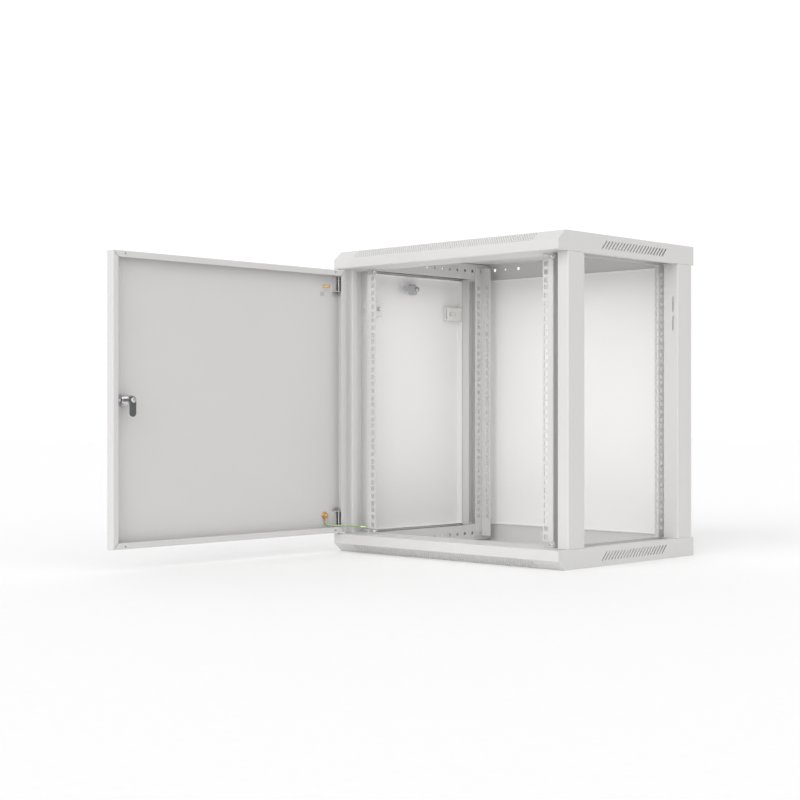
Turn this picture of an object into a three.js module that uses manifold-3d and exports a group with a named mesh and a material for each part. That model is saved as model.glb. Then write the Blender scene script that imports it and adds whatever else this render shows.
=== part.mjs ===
// A 19-inch wall cabinet of twelve rack units, with its door open and its right side panel off.
// Millimetres. +X is the cabinet's right as one faces it, -Y its front, +Z up.
// The origin is the centre of the base, on the surface that the cabinet stands on.

import * as THREE from 'three';
import { mergeVertices } from 'three/addons/utils/BufferGeometryUtils.js';
import Module from 'manifold-3d';

const wasm = await Module();
wasm.setup();

// ---- Driving dimensions ----

const WIDTH = 600;
const DEPTH = 450;
const HEIGHT = 635;
const SHEET = 1.5;            // frame, posts and brackets
const PANEL_SHEET = 1.2;      // door, side panel, back panel and covers
const RAIL_SHEET = 2;
const GAP = 0.3;              // between pieces that touch
const FRAME_HEIGHT = 38;      // height of the top and of the bottom tray
const RACK_UNITS = 12;
const UNIT = 44.45;
const SCREW_SPACING = 465.1;  // between the two columns of square holes
const SQUARE_HOLE = 9.5;
const HOLE_OFFSETS = [6.35, 22.225, 38.1];    // from the bottom of each unit

const halfWidth = WIDTH / 2;
const front = -DEPTH / 2;
const rear = DEPTH / 2;

const CHAMFER = { deep: 21, tall: 18 };
const BEAM_DEPTH = 81;        // from the front face to the beam's inner return
const BEAM_RETURN = 15;
const SIDE_LIP = 14;
const beamBack = front + BEAM_DEPTH;

const POST = { setback: 30, faceWidth: 26, returnWidth: 34, rearFace: 168, rearBack: 217 };
const postBottom = FRAME_HEIGHT + GAP;
const postTop = HEIGHT - FRAME_HEIGHT - GAP;
const LATCH_SLOT = { x: 288, width: 4.4, spans: [[500, 531], [461, 491]] };

// The door lock's cam swings through this gap in the right post's edge, and bears behind its face.
const STRIKE_Z = [283.5, 328];

const RAIL = { edge: 250, width: 25, depth: 25, bottom: 49.5, top: 585.5, frontFace: -177, rearFace: 197 };
const FOOT_BOLT = { x: 238, y: -165 };
const REAR_RAIL_Z = [12, HEIGHT - 12];
const WEB_HOLE = { y: 182, size: 8 };

const BRACKET = { x: 250.3, foot: 16, low: 2, high: 38.5 };
const BRACKET_HOLES = { pitch: 25.4, last: 188.4, count: 13, z: 19, radius: 3.6 };

const VENT = { first: -92, pitch: 10, count: 21, width: 4.6, lean: 17, low: 607, high: 625 };
const WALL_HOLES = { z: 620.5, x: [165, 234.6], radius: 3.8 };
const FAN = { x: 118, y: 10, radius: 54, cover: 130 };
const CABLE_ENTRY = { y: 150, length: 300, width: 50, overlap: 8 };

const DOOR = { width: 594, thickness: 20, bottom: 41, top: 594, lip: 12 };
const HINGE = { x: -291.5, y: -219.5, inset: 5.5, pinRadius: 2.25, holeRadius: 2.65 };
const DOOR_OPEN = -Math.PI / 2;
const PIN = { footZ: 544.5, footLength: 19, handleTop: 548.2, tip: 603 };
const PIN_COLLAR = { z: 573, radius: 3.7, height: 1.5 };
const HINGE_BRACKET = { low: 549, high: 583, tab: 1.5, reach: 14, web: 4.5 };
const LOCK = { flange: 12.5, flangeHeight: 2.5, barrel: 9, bore: 6.3, plug: 6, boss: 7 };
const LOCK_NUT = { radius: 13.4, thick: 8.5 };
const CAM = { width: 14, sheet: 2.5 };
const DOOR_LOCK = { fromEdge: 34, z: HEIGHT / 2, barrelLength: 32.7, camReach: 31 };
const EARTH = { u: 38.5, upperZ: 559, lowerZ: 78, studRadius: 3, longStud: 16, shortStud: 9.5 };
const FRAME_EARTH = { x: -276, y: -34 };

const SIDE_PANEL = { bottom: 39.5, top: 595.5, depth: 15, front: -143.7, rear: 167.7 };
const SIDE_LOCK = { y: 12, z: 567, barrelLength: 16, camReach: 40 };
const LATCH = { z: 518, tall: 20, housing: 50, housingTall: 30, x: -288, sheet: 1.5, length: 42 };

const LEAD_RADIUS = 1.5;
// The earth lead's route, from the door's stud over the hinge and down into the bottom tray.
const LEAD_ROUTE = [
  [-293.2, -258, 65.2], [-293.1, -257.8, 62.5], [-291.8, -255, 58.6], [-287, -247.5, 56.6],
  [-280, -238.5, 56.2], [-274.2, -227, 56], [-271.2, -214, 55.4], [-268.6, -199, 54.2],
  [-264.8, -181, 51.8], [-262, -166, 48.4], [-260.8, -152, 43.8], [-261.2, -144.5, 41],
  [-262, -139.6, 37.2], [-263.6, -134.6, 29], [-266.6, -126, 19], [-270, -113, 10.8],
  [-273, -97, 6], [-275, -80, 4.4], [-276, -62, 4.5], [-276, -52, 4.7], [-276, -47.6, 4.7],
];

// ---- Finishes ----

const finish = (color, roughness, metalness) => ({ color, roughness, metalness });
const PAINT = finish(0xdcdcda, 0.5, 0);
const PAINT_INSIDE = finish(0xd6d6d4, 0.5, 0);
const ZINC = finish(0xb9bcc0, 0.3, 1);
const STEEL = finish(0x8f9296, 0.38, 1);
const BRASS = finish(0xc79a4a, 0.32, 1);
const SPRING = finish(0x9fa2a6, 0.3, 1);
const PLASTIC = finish(0xdedfdd, 0.45, 0);
const LEAD = finish(0x5c9c4e, 0.5, 0);

// ---- Making and joining solids ----

function toSolid(geometry) {
  const bare = geometry.clone();
  bare.deleteAttribute('normal');
  bare.deleteAttribute('uv');
  const merged = mergeVertices(bare, 1e-4);
  return new wasm.Manifold(new wasm.Mesh({
    numProp: 3,
    vertProperties: new Float32Array(merged.attributes.position.array),
    triVerts: new Uint32Array(merged.index.array),
  }));
}

function toGeometry(solid) {
  const surface = solid.getMesh();
  const geometry = new THREE.BufferGeometry();
  geometry.setAttribute('position', new THREE.BufferAttribute(surface.vertProperties, 3));
  geometry.setIndex(new THREE.BufferAttribute(surface.triVerts, 1));
  geometry.computeVertexNormals();
  return geometry;
}

function join(...geometries) {
  return toGeometry(geometries.map(toSolid).reduce((sum, next) => sum.add(next)));
}

function cut(geometry, ...tools) {
  if (tools.length === 0) return geometry;
  const removed = tools.map(toSolid).reduce((sum, next) => sum.add(next));
  return toGeometry(toSolid(geometry).subtract(removed));
}

// A box between two corners, given as ranges whose ends may come in either order.
function box([x0, x1], [y0, y1], [z0, z1]) {
  const geometry = new THREE.BoxGeometry(Math.abs(x1 - x0), Math.abs(y1 - y0), Math.abs(z1 - z0));
  return geometry.translate((x0 + x1) / 2, (y0 + y1) / 2, (z0 + z1) / 2);
}

// A round or many-sided bar of one radius along an axis, 'x', 'y' or 'z', centred on the other two.
function bar(axis, radius, [from, to], [a, b], sides = 12) {
  const geometry = new THREE.CylinderGeometry(radius, radius, Math.abs(to - from), sides);
  const middle = (from + to) / 2;
  if (axis === 'x') return geometry.rotateZ(-Math.PI / 2).translate(middle, a, b);
  if (axis === 'y') return geometry.translate(a, middle, b);
  return geometry.rotateX(Math.PI / 2).translate(a, b, middle);
}

function extrude(points, depth) {
  const shape = new THREE.Shape(points.map(([a, b]) => new THREE.Vector2(a, b)));
  return new THREE.ExtrudeGeometry(shape, { depth, bevelEnabled: false });
}

// An outline in Y and Z, drawn out along X.
function alongX(points, [x0, x1]) {
  const turn = new THREE.Matrix4().makeBasis(
    new THREE.Vector3(0, 1, 0), new THREE.Vector3(0, 0, 1), new THREE.Vector3(1, 0, 0));
  return extrude(points, Math.abs(x1 - x0)).applyMatrix4(turn).translate(Math.min(x0, x1), 0, 0);
}

// An outline in X and Y, drawn out along Z.
function alongZ(points, [z0, z1]) {
  return extrude(points, z1 - z0).translate(0, 0, z0);
}

// An outline in Z and X, drawn out along Y.
function alongY(points, [y0, y1]) {
  const turn = new THREE.Matrix4().makeBasis(
    new THREE.Vector3(0, 0, 1), new THREE.Vector3(1, 0, 0), new THREE.Vector3(0, 1, 0));
  return extrude(points, y1 - y0).applyMatrix4(turn).translate(0, y0, 0);
}

// The outline of a folded sheet: one face of it, and back along the face to its right.
function foldedSheet(line, thickness) {
  const rightOf = (from, to) => new THREE.Vector2(to[1] - from[1], from[0] - to[0]).normalize();
  const otherFace = line.map((point, i) => {
    const before = rightOf(line[Math.max(i - 1, 0)], line[Math.max(i, 1)]);
    const after = rightOf(line[Math.min(i, line.length - 2)], line[Math.min(i + 1, line.length - 1)]);
    const mitre = before.clone().add(after).multiplyScalar(thickness / (1 + before.dot(after)));
    return [point[0] + mitre.x, point[1] + mitre.y];
  });
  return [...line, ...otherFace.reverse()];
}

function mesh(name, geometry, look) {
  const material = new THREE.MeshStandardMaterial(look);
  const node = new THREE.Mesh(geometry, material);
  node.name = name;
  return node;
}

const SIDES = [['left', -1], ['right', 1]];

// ---- The two trays ----

// Heights are given for the top tray; the bottom one is the same tray turned over.
const overTop = (z) => z;
const overBottom = (z) => HEIGHT - z;

function ventSlots(side, low, high) {
  return Array.from({ length: VENT.count }, (_, i) => {
    const y = VENT.first + i * VENT.pitch;
    const slot = [[y, low], [y + VENT.width, low],
      [y + VENT.width + VENT.lean, high], [y + VENT.lean, high]];
    return alongX(slot, [side * (halfWidth - 4), side * (halfWidth + 4)]);
  });
}

function tray(atHeight) {
  const lipZ = HEIGHT - FRAME_HEIGHT;
  const chamferLow = HEIGHT - CHAMFER.tall;
  const chamferBack = front + CHAMFER.deep;
  const flip = (points) => points.map(([y, z]) => [y, atHeight(z)]);
  const outline = [[front, lipZ], [front, chamferLow], [chamferBack, HEIGHT], [rear, HEIGHT], [rear, lipZ]];
  const sheetLine = [[beamBack, lipZ + BEAM_RETURN], [beamBack, lipZ], ...outline];
  const shell = alongX(flip(foldedSheet(sheetLine, SHEET)), [-halfWidth, halfWidth]);
  const lipRange = [atHeight(lipZ), atHeight(lipZ + SHEET)];
  const ends = SIDES.flatMap(([, side]) => [
    alongX(flip(outline), [side * (halfWidth - SHEET), side * halfWidth]),
    box([side * (halfWidth - SIDE_LIP), side * halfWidth], [beamBack - 1, rear], lipRange),
    box([side * (halfWidth - FRAME_HEIGHT), side * halfWidth], [POST.rearFace, rear], lipRange),
  ]);
  return join(shell, ...ends);
}

function trayHoles(atHeight) {
  const lip = [atHeight(HEIGHT - FRAME_HEIGHT - 2), atHeight(HEIGHT - FRAME_HEIGHT + 4)];
  const feet = SIDES.map(([, side]) => footHole(side, lip));
  const hinge = bar('z', HINGE.holeRadius, lip, [HINGE.x, HINGE.y], 12);
  const entryX = [-CABLE_ENTRY.length / 2, CABLE_ENTRY.length / 2];
  const entryY = [CABLE_ENTRY.y - CABLE_ENTRY.width / 2, CABLE_ENTRY.y + CABLE_ENTRY.width / 2];
  const entry = box(entryX, entryY, [atHeight(HEIGHT - 4), atHeight(HEIGHT + 4)]);
  return [...feet, hinge, entry];
}

function topFrame() {
  const slots = SIDES.flatMap(([, side]) => ventSlots(side, VENT.low, VENT.high));
  const fans = SIDES.map(([, side]) =>
    bar('z', FAN.radius, [HEIGHT - 4, HEIGHT + 4], [side * FAN.x, FAN.y], 28));
  const wall = WALL_HOLES.x.flatMap((x) => SIDES.map(([, side]) =>
    bar('y', WALL_HOLES.radius, [rear - 4, rear + 4], [side * x, WALL_HOLES.z], 14)));
  return cut(tray(overTop), ...trayHoles(overTop), ...slots, ...fans, ...wall);
}

function bottomFrame() {
  const slots = SIDES.flatMap(([, side]) => ventSlots(side, HEIGHT - VENT.high, HEIGHT - VENT.low));
  return cut(tray(overBottom), ...trayHoles(overBottom), ...slots);
}

function cover(atHeight, [x, y], [length, width]) {
  const face = HEIGHT - SHEET - GAP;
  return box([x - length / 2, x + length / 2], [y - width / 2, y + width / 2],
    [atHeight(face), atHeight(face - PANEL_SHEET)]);
}

function cableCover(atHeight) {
  const size = [CABLE_ENTRY.length + 2 * CABLE_ENTRY.overlap, CABLE_ENTRY.width + 2 * CABLE_ENTRY.overlap];
  return cover(atHeight, [0, CABLE_ENTRY.y], size);
}

// ---- Posts and back panel ----

function latchSlots(side, [y0, y1]) {
  const x = [side * (LATCH_SLOT.x - LATCH_SLOT.width / 2), side * (LATCH_SLOT.x + LATCH_SLOT.width / 2)];
  return LATCH_SLOT.spans.map((span) => box(x, [y0 - 2, y1 + 2], span));
}

function frontPost(side) {
  const face = front + POST.setback;
  const inner = halfWidth - POST.faceWidth;
  const line = [[inner, face + 10], [inner, face], [halfWidth, face], [halfWidth, beamBack],
    [halfWidth - POST.returnWidth, beamBack]];
  const outline = foldedSheet(line.slice().reverse(), SHEET).map(([x, y]) => [side * x, y]);
  const slots = latchSlots(side, [beamBack - SHEET, beamBack]);
  const strike = box([side * (inner - 2), side * (inner + 3)], [face + SHEET + 0.5, face + 12], STRIKE_Z);
  return cut(alongZ(outline, [postBottom, postTop]), ...slots, ...(side > 0 ? [strike] : []));
}

function rearPost(side) {
  const line = [[halfWidth - POST.returnWidth, POST.rearFace], [halfWidth, POST.rearFace],
    [halfWidth, POST.rearBack], [halfWidth - POST.faceWidth, POST.rearBack]];
  const outline = foldedSheet(line.slice().reverse(), SHEET).map(([x, y]) => [side * x, y]);
  const slots = latchSlots(side, [POST.rearFace, POST.rearFace + SHEET]);
  return cut(alongZ(outline, [postBottom, postTop]), ...slots);
}

function backPanel() {
  const edge = halfWidth - 2;
  const low = FRAME_HEIGHT + 1;
  const high = HEIGHT - FRAME_HEIGHT - 1;
  const frontFace = POST.rearBack + GAP;
  const back = frontFace + 4.7;
  const inside = PANEL_SHEET;
  return cut(box([-edge, edge], [frontFace, back], [low, high]),
    box([inside - edge, edge - inside], [frontFace - 1, back - inside], [low + inside, high - inside]));
}

// ---- Rails and their brackets ----

const HOLE_Z = Array.from({ length: RACK_UNITS }, (_, u) => HOLE_OFFSETS.map((offset) =>
  (HEIGHT - RACK_UNITS * UNIT) / 2 + u * UNIT + offset)).flat();

function squareHoles(side, [y0, y1]) {
  const x = side * SCREW_SPACING / 2;
  const half = SQUARE_HOLE / 2;
  return HOLE_Z.map((z) => box([x - half, x + half], [y0 - 2, y1 + 2], [z - half, z + half]));
}

// The smaller square holes down the rear rail's web.
function webHoles([x0, x1]) {
  const half = WEB_HOLE.size / 2;
  return HOLE_Z.map((z) => box([x0, x1], [WEB_HOLE.y - half, WEB_HOLE.y + half], [z - half, z + half]));
}

function footHole(side, span) {
  return bar('z', 3.4, span, [side * FOOT_BOLT.x, FOOT_BOLT.y], 10);
}

// The front rail: an angle whose ends turn into feet that are bolted under and over the beams' lips.
function frontRail(side) {
  const edge = side * RAIL.edge;
  const inner = side * (RAIL.edge - RAIL.width);
  const web = side * (RAIL.edge - RAIL_SHEET);
  const face = [RAIL.frontFace, RAIL.frontFace + RAIL_SHEET];
  const deep = [RAIL.frontFace, RAIL.frontFace + RAIL.depth];
  const flange = cut(box([inner, edge], face, [RAIL.bottom, RAIL.top]), ...squareHoles(side, face));
  const sideWeb = box([web, edge], deep, [postBottom, postTop]);
  const feet = [[postBottom, postBottom + RAIL_SHEET], [postTop - RAIL_SHEET, postTop]].map((z) =>
    cut(box([inner, edge], deep, z), footHole(side, [z[0] - 2, z[1] + 2])));
  return join(flange, sideWeb, ...feet);
}

// The rear rail: an angle that runs the full height between the trays, bolted to the depth brackets.
function rearRail(side) {
  const edge = side * RAIL.edge;
  const inner = side * (RAIL.edge - RAIL.width);
  const web = side * (RAIL.edge - RAIL_SHEET);
  const face = [RAIL.rearFace - RAIL_SHEET, RAIL.rearFace];
  const flange = cut(box([inner, edge], face, REAR_RAIL_Z), ...squareHoles(side, face));
  const sideWeb = box([web, edge], [RAIL.rearFace - RAIL.depth, RAIL.rearFace], REAR_RAIL_Z);
  const holes = [BRACKET_HOLES.z, HEIGHT - BRACKET_HOLES.z].map((z) =>
    bar('x', BRACKET_HOLES.radius, [web - side * 2, edge + side * 2], [BRACKET_HOLES.last, z], 10));
  return cut(join(flange, sideWeb), ...holes, ...webHoles([web - side * 2, edge + side * 2]));
}

function depthBracket(side, atHeight) {
  const line = [[BRACKET.x + BRACKET.foot, BRACKET.low], [BRACKET.x, BRACKET.low], [BRACKET.x, BRACKET.high]];
  const outline = foldedSheet(line, SHEET).map(([x, z]) => [atHeight(HEIGHT - z), side * x]);
  const holes = Array.from({ length: BRACKET_HOLES.count }, (_, i) => {
    const y = BRACKET_HOLES.last - i * BRACKET_HOLES.pitch;
    const z = atHeight(HEIGHT - BRACKET_HOLES.z);
    return bar('x', BRACKET_HOLES.radius, [side * (BRACKET.x - 2), side * (BRACKET.x + 4)], [y, z], 8);
  });
  return cut(alongY(outline, [beamBack + GAP, rear - SHEET - GAP]), ...holes);
}

// A hexagon bolt whose head sits at 0 and whose shank runs along its own +Y.
function hexBolt(headRadius, headHeight, shankRadius, shankLength) {
  return join(bar('y', headRadius, [-headHeight, 0], [0, 0], 6),
    bar('y', shankRadius, [-1, shankLength], [0, 0], 10));
}

function place(geometry, [x, y, z], turn) {
  return turn(geometry).translate(x, y, z);
}

function footBolt(side, isTop) {
  const z = isTop ? postTop - RAIL_SHEET - GAP : postBottom + RAIL_SHEET + GAP;
  const turn = (g) => g.rotateX(isTop ? Math.PI / 2 : -Math.PI / 2);
  return place(hexBolt(6, 4.2, 2.9, 13), [side * FOOT_BOLT.x, FOOT_BOLT.y, z], turn);
}

function webBolt(side, isTop) {
  const z = isTop ? HEIGHT - BRACKET_HOLES.z : BRACKET_HOLES.z;
  const turn = (g) => g.rotateZ(side * Math.PI / 2);
  return place(hexBolt(6, 4.2, 3, 5.2), [side * (BRACKET.x + SHEET + GAP), BRACKET_HOLES.last, z], turn);
}

// ---- Locks ----

// A cam lock on its own axis: 0 is the panel's outer face, +Y is inward, the cam points down.
function lockBody(barrelLength) {
  const flange = bar('y', LOCK.flange, [-LOCK.flangeHeight - GAP, -GAP], [0, 0], 24);
  const barrel = bar('y', LOCK.barrel, [-1, barrelLength], [0, 0], 24);
  return cut(join(flange, barrel), bar('y', LOCK.bore, [-10, barrelLength + 10], [0, 0], 18));
}

function lockNut() {
  const base = PANEL_SHEET + GAP;
  const { radius, thick } = LOCK_NUT;
  return cut(bar('y', radius, [base, base + thick], [0, 0], 6),
    bar('y', LOCK.barrel + GAP, [base - 2, base + thick + 2], [0, 0], 18));
}

function lockPlug(barrelLength) {
  const outer = -LOCK.flangeHeight;
  const half = LOCK.boss / 2;
  const shaft = bar('y', LOCK.plug, [outer, barrelLength], [0, 0], 18);
  const boss = box([-half, half], [barrelLength - 1, barrelLength + CAM.sheet + 0.2], [-half, half]);
  const keyway = box([-0.7, 0.7], [outer - 1, outer + 5], [-3.2, 3.2]);
  const thread = bar('y', 2.4, [barrelLength - 8, barrelLength + 10], [0, 0], 10);
  return cut(join(shaft, boss), keyway, thread);
}

function lockCam(barrelLength, reach) {
  const half = CAM.width / 2;
  const bore = LOCK.boss / 2 + GAP;
  const y = [barrelLength + GAP, barrelLength + GAP + CAM.sheet];
  const blade = box([-half, half], y, [half - reach, 0]);
  const ends = [0, half - reach].map((z) => bar('y', half, y, [0, z], 20));
  return cut(join(blade, ...ends), box([-bore, bore], [y[0] - 1, y[1] + 1], [-bore, bore]));
}

function lockScrew(barrelLength) {
  const seat = barrelLength + CAM.sheet + 2 * GAP;
  const head = bar('y', 5.4, [seat, seat + 2.6], [0, 0], 14);
  const shank = bar('y', 2, [barrelLength - 6, seat + 1], [0, 0], 10);
  return cut(join(head, shank), box([-0.7, 0.7], [seat + 1.4, seat + 4], [-7, 7]));
}

function camLock(prefix, barrelLength, camReach, camTurn, camFinish) {
  const group = new THREE.Group();
  group.add(
    mesh(`${prefix}_lock_body`, lockBody(barrelLength), ZINC),
    mesh(`${prefix}_lock_nut`, lockNut(), ZINC),
    mesh(`${prefix}_lock_plug`, lockPlug(barrelLength), ZINC),
    mesh(`${prefix}_lock_cam`, lockCam(barrelLength, camReach).rotateY(camTurn), camFinish),
    mesh(`${prefix}_lock_screw`, lockScrew(barrelLength), ZINC),
  );
  return group;
}

// ---- Earth studs, nuts and terminals ----

// A stud, nut or ring terminal on its own axis: the sheet's face is at 0 and +Y leaves it.
const earthStud = (length) => bar('y', EARTH.studRadius, [GAP, length], [0, 0], 12);

function earthNut() {
  const hexagon = bar('y', 5.8, [2, 7], [0, 0], 6);
  const flange = bar('y', 6.9, [1.5, 2.7], [0, 0], 18);
  return cut(join(hexagon, flange), bar('y', EARTH.studRadius + GAP, [0, 8], [0, 0], 12));
}

// The ring lies on the sheet and its barrel points down its own -Z.
function ringTerminal() {
  const plate = [GAP + 0.1, GAP + 0.9];
  const ring = bar('y', 7.2, plate, [0, 0], 18);
  const neck = box([-2.2, 2.2], plate, [-11, -3]);
  const barrel = bar('z', 2.3, [-12.5, -7.4], [0, 0], 12).translate(0, plate[0] + 2.3, 0);
  return cut(join(ring, neck, barrel), bar('y', EARTH.studRadius + GAP, [-1, 3], [0, 0], 12));
}

// ---- Door, in its closed position: u along the width, y inward, the hinge axis at the origin ----

const doorSkin = -HINGE.inset + PANEL_SHEET;

function doorPanel() {
  const [near, far] = [-HINGE.inset, DOOR.width - HINGE.inset];
  const [outer, inner] = [-HINGE.inset, DOOR.thickness - HINGE.inset];
  const t = PANEL_SHEET;
  const lockU = far - DOOR_LOCK.fromEdge;
  return cut(box([near, far], [outer, inner], [DOOR.bottom, DOOR.top]),
    box([near + t, far - t], [outer + t, inner - t], [DOOR.bottom + t, DOOR.top - t]),
    box([near + DOOR.lip, far - DOOR.lip], [inner - 3, inner + 1],
      [DOOR.bottom + DOOR.lip, DOOR.top - DOOR.lip]),
    bar('z', HINGE.holeRadius, [DOOR.bottom - 1, DOOR.bottom + 3], [0, 0]),
    bar('z', HINGE.holeRadius, [DOOR.top - 3, DOOR.top + 1], [0, 0]),
    bar('y', LOCK.barrel + GAP, [outer - 1, outer + 3], [lockU, DOOR_LOCK.z], 20));
}

function hingeBracket(atHeight) {
  const { low, high, tab, reach, web } = HINGE_BRACKET;
  const plateY = [doorSkin + GAP, doorSkin + GAP + PANEL_SHEET];
  const tabs = [[low, low + tab], [high - tab, high]].map(([a, b]) =>
    box([doorSkin + GAP, reach], [plateY[0], 6], [atHeight(a), atHeight(b)]));
  const plate = box([web, reach], plateY, [atHeight(low), atHeight(high)]);
  const hole = bar('z', HINGE.holeRadius, [atHeight(low - 2), atHeight(high + 2)], [0, 0]);
  return cut(join(...tabs, plate), hole);
}

// The pin's straight shaft, with the collar that its spring pushes on.
function hingePin(atHeight) {
  const shaft = bar('z', HINGE.pinRadius, [atHeight(PIN.handleTop + GAP), atHeight(PIN.tip)], [0, 0], 14);
  const collar = [atHeight(PIN_COLLAR.z), atHeight(PIN_COLLAR.z + PIN_COLLAR.height)];
  return join(shaft, bar('z', PIN_COLLAR.radius, collar, [0, 0], 14));
}

// The pin's bent end, by which it is pulled back to lift the door off.
function pinHandle(atHeight) {
  const stem = bar('z', HINGE.pinRadius, [atHeight(PIN.footZ), atHeight(PIN.handleTop)], [0, 0], 14);
  const foot = bar('x', HINGE.pinRadius, [0, PIN.footLength], [0, atHeight(PIN.footZ)], 14);
  const elbow = new THREE.SphereGeometry(HINGE.pinRadius, 14, 8).translate(0, 0, atHeight(PIN.footZ));
  return join(stem, foot, elbow);
}

// The coil spring between the bracket's inner tab and the pin's collar, as the sleeve it fills.
function pinSpring(atHeight) {
  const low = HINGE_BRACKET.low + HINGE_BRACKET.tab + GAP;
  const span = [atHeight(low), atHeight(PIN_COLLAR.z - GAP)];
  const past = [atHeight(low - 2), atHeight(PIN_COLLAR.z + 2)];
  return cut(bar('z', 3.6, span, [0, 0], 12), bar('z', HINGE.pinRadius + GAP + 0.2, past, [0, 0], 12));
}

function door() {
  const group = new THREE.Group();
  group.add(mesh('door_panel', doorPanel(), PAINT));
  [['upper', overTop], ['lower', overBottom]].forEach(([level, atHeight]) => {
    group.add(
      mesh(`${level}_hinge_bracket`, hingeBracket(atHeight), PAINT),
      mesh(`${level}_hinge_pin`, hingePin(atHeight), STEEL),
      mesh(`${level}_pin_handle`, pinHandle(atHeight), STEEL),
      mesh(`${level}_hinge_spring`, pinSpring(atHeight), SPRING),
    );
  });
  const [upperStud, lowerStud] = [earthStud(EARTH.longStud), earthStud(EARTH.shortStud)];
  group.add(mesh('upper_earth_stud', upperStud.translate(EARTH.u, doorSkin, EARTH.upperZ), BRASS));
  group.add(mesh('lower_earth_stud', lowerStud.translate(EARTH.u, doorSkin, EARTH.lowerZ), BRASS));
  group.add(mesh('lower_earth_nut', earthNut().translate(EARTH.u, doorSkin, EARTH.lowerZ), BRASS));
  group.add(mesh('door_ring_terminal', ringTerminal().translate(EARTH.u, doorSkin, EARTH.lowerZ), BRASS));
  const lock = camLock('door', DOOR_LOCK.barrelLength, DOOR_LOCK.camReach, 0, STEEL);
  lock.position.set(DOOR.width - HINGE.inset - DOOR_LOCK.fromEdge, -HINGE.inset, DOOR_LOCK.z);
  group.add(lock);
  group.position.set(HINGE.x, HINGE.y, 0);
  group.rotation.z = DOOR_OPEN;
  return group;
}

// ---- Left side panel ----

function sidePanel() {
  const { bottom, top, depth, front: nearY, rear: farY } = SIDE_PANEL;
  const t = PANEL_SHEET;
  const tongue = [LATCH.z - LATCH.tall / 2 - 1, LATCH.z + LATCH.tall / 2 + 1];
  const slotX = [LATCH.x - LATCH_SLOT.width / 2, LATCH.x + LATCH_SLOT.width / 2];
  return cut(box([-halfWidth, depth - halfWidth], [nearY, farY], [bottom, top]),
    box([t - halfWidth, depth - halfWidth + 1], [nearY + t, farY - t], [bottom + t, top - t]),
    box(slotX, [nearY - 1, nearY + 3], tongue), box(slotX, [farY - 3, farY + 1], tongue),
    bar('x', LOCK.barrel + GAP, [-halfWidth - 2, -halfWidth + 4], [SIDE_LOCK.y, SIDE_LOCK.z], 20));
}

// A latch slides in a housing beside one of the panel's edge flanges. Distances are from that
// flange, towards the tongue's tip: along is 1 where the tongue points to the rear, -1 to the front.
const LATCH_HEIGHT = [LATCH.z - LATCH.housingTall / 2, LATCH.z + LATCH.housingTall / 2];
const TONGUE_HEIGHT = [LATCH.z - LATCH.tall / 2, LATCH.z + LATCH.tall / 2];

function latchHousing(edge, along) {
  const run = (from, to) => [edge + along * from, edge + along * to];
  const panelFace = PANEL_SHEET - halfWidth + GAP;
  const face = LATCH.x + 2.4;
  const channel = box([LATCH.x - 1.2, LATCH.x + 1.2], run(-LATCH.housing - 1, 1),
    [TONGUE_HEIGHT[0] - 0.5, TONGUE_HEIGHT[1] + 0.5]);
  const window = box([LATCH.x, face + 1], run(-42, -19), [LATCH.z - 4, LATCH.z + 4]);
  return cut(box([panelFace, face], run(-LATCH.housing, -GAP), LATCH_HEIGHT), channel, window);
}

function latchTongue(edge, along) {
  const run = (from, to) => [edge + along * from, edge + along * to];
  const half = LATCH.sheet / 2;
  const blade = box([LATCH.x - half, LATCH.x + half], run(-LATCH.length - 0.6, -0.6), TONGUE_HEIGHT);
  const knob = box([LATCH.x, LATCH.x + 7], run(-40.5, -34.5), [LATCH.z - 3, LATCH.z + 3]);
  return join(blade, knob);
}

function sideLatch(name, edge, along) {
  return [
    mesh(`${name}_latch_housing`, latchHousing(edge, along), PLASTIC),
    mesh(`${name}_latch`, latchTongue(edge, along), PLASTIC),
  ];
}

function sidePanelGroup() {
  const group = new THREE.Group();
  group.add(mesh('left_side_panel', sidePanel(), PAINT_INSIDE));
  group.add(...sideLatch('front', SIDE_PANEL.front + PANEL_SHEET, -1));
  group.add(...sideLatch('rear', SIDE_PANEL.rear - PANEL_SHEET, 1));
  const lock = camLock('side', SIDE_LOCK.barrelLength, SIDE_LOCK.camReach, -Math.PI / 2, ZINC);
  lock.position.set(-halfWidth, SIDE_LOCK.y, SIDE_LOCK.z);
  lock.rotation.z = -Math.PI / 2;
  group.add(lock);
  return group;
}

// ---- Earth lead ----

function earthLead() {
  const route = new THREE.CatmullRomCurve3(LEAD_ROUTE.map((p) => new THREE.Vector3(...p)));
  const section = new THREE.Shape(Array.from({ length: 8 }, (_, i) => {
    const angle = (i * Math.PI) / 4;
    return new THREE.Vector2(LEAD_RADIUS * Math.cos(angle), LEAD_RADIUS * Math.sin(angle));
  }));
  return new THREE.ExtrudeGeometry(section, { steps: 40, extrudePath: route });
}

function frameEarth() {
  const stand = (geometry) => geometry.rotateX(Math.PI / 2).translate(FRAME_EARTH.x, FRAME_EARTH.y, SHEET);
  return [
    mesh('frame_earth_stud', stand(earthStud(EARTH.shortStud)), BRASS),
    mesh('frame_earth_nut', stand(earthNut()), BRASS),
    mesh('frame_ring_terminal', stand(ringTerminal().rotateY(Math.PI)), BRASS),
  ];
}

// ---- The cabinet ----

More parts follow.
